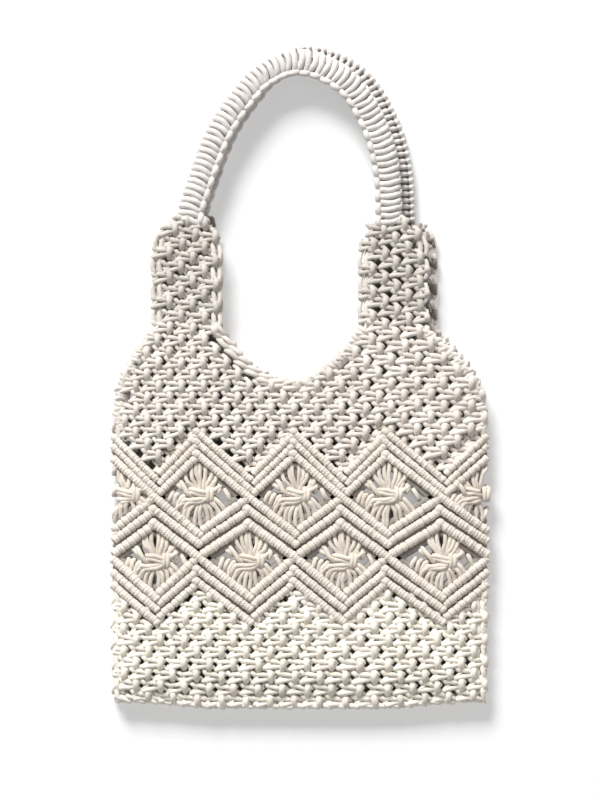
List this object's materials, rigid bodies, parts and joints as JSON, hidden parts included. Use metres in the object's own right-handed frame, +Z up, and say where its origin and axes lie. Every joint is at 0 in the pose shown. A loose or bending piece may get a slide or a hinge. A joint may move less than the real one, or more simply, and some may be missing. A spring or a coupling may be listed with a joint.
{
  "type": "macrame shoulder bag",
  "caption": "Flat-laid macrame cotton tote: open knotted nets, zigzag ribs with gathered diamond bows, twin knotted shoulder handles.",
  "frame": {"origin": "on the surface that the bag lies on, under the middle of its bounds", "axes": "+Y from the bottom seam to the top of the handles, +Z up out of the front panel, +X to the right as the front is seen"},
  "size_m": [0.35, 0.6072, 0.0286],
  "materials": {
    "net_cord": "matte cream cotton cord, knotted in an open net",
    "rib_cord": "matte cream cotton cord, hitched tightly into ribs",
    "bow_cord": "matte cream cotton cord in loose strands",
    "handle_cord": "matte greyish cream cotton cord, knotted tightly around a core",
    "lacing_cord": "matte cream cotton cord, laced around the seams"
  },
  "bodies": {
    "root": {"back_upper_net": "net_cord", "back_zigzag_top": "rib_cord", "back_zigzag_middle": "rib_cord", "back_zigzag_bottom": "rib_cord", "back_lower_net": "net_cord", "back_bow_1": "bow_cord", "back_bow_2": "bow_cord", "back_bow_3": "bow_cord", "back_bow_4": "bow_cord", "back_bow_5": "bow_cord", "back_bow_6": "bow_cord", "back_bow_7": "bow_cord", "back_bow_8": "bow_cord", "back_bow_9": "bow_cord", "back_handle": "handle_cord", "front_upper_net": "net_cord", "front_zigzag_top": "rib_cord", "front_zigzag_middle": "rib_cord", "front_zigzag_bottom": "rib_cord", "front_lower_net": "net_cord", "front_bow_1": "bow_cord", "front_bow_2": "bow_cord", "front_bow_3": "bow_cord", "front_bow_4": "bow_cord", "front_bow_5": "bow_cord", "front_bow_6": "bow_cord", "front_bow_7": "bow_cord", "front_bow_8": "bow_cord", "front_bow_9": "bow_cord", "front_handle": "handle_cord", "side_lacing_left": "lacing_cord", "side_lacing_right": "lacing_cord", "bottom_lacing": "lacing_cord"}
  },
  "joints": []
}
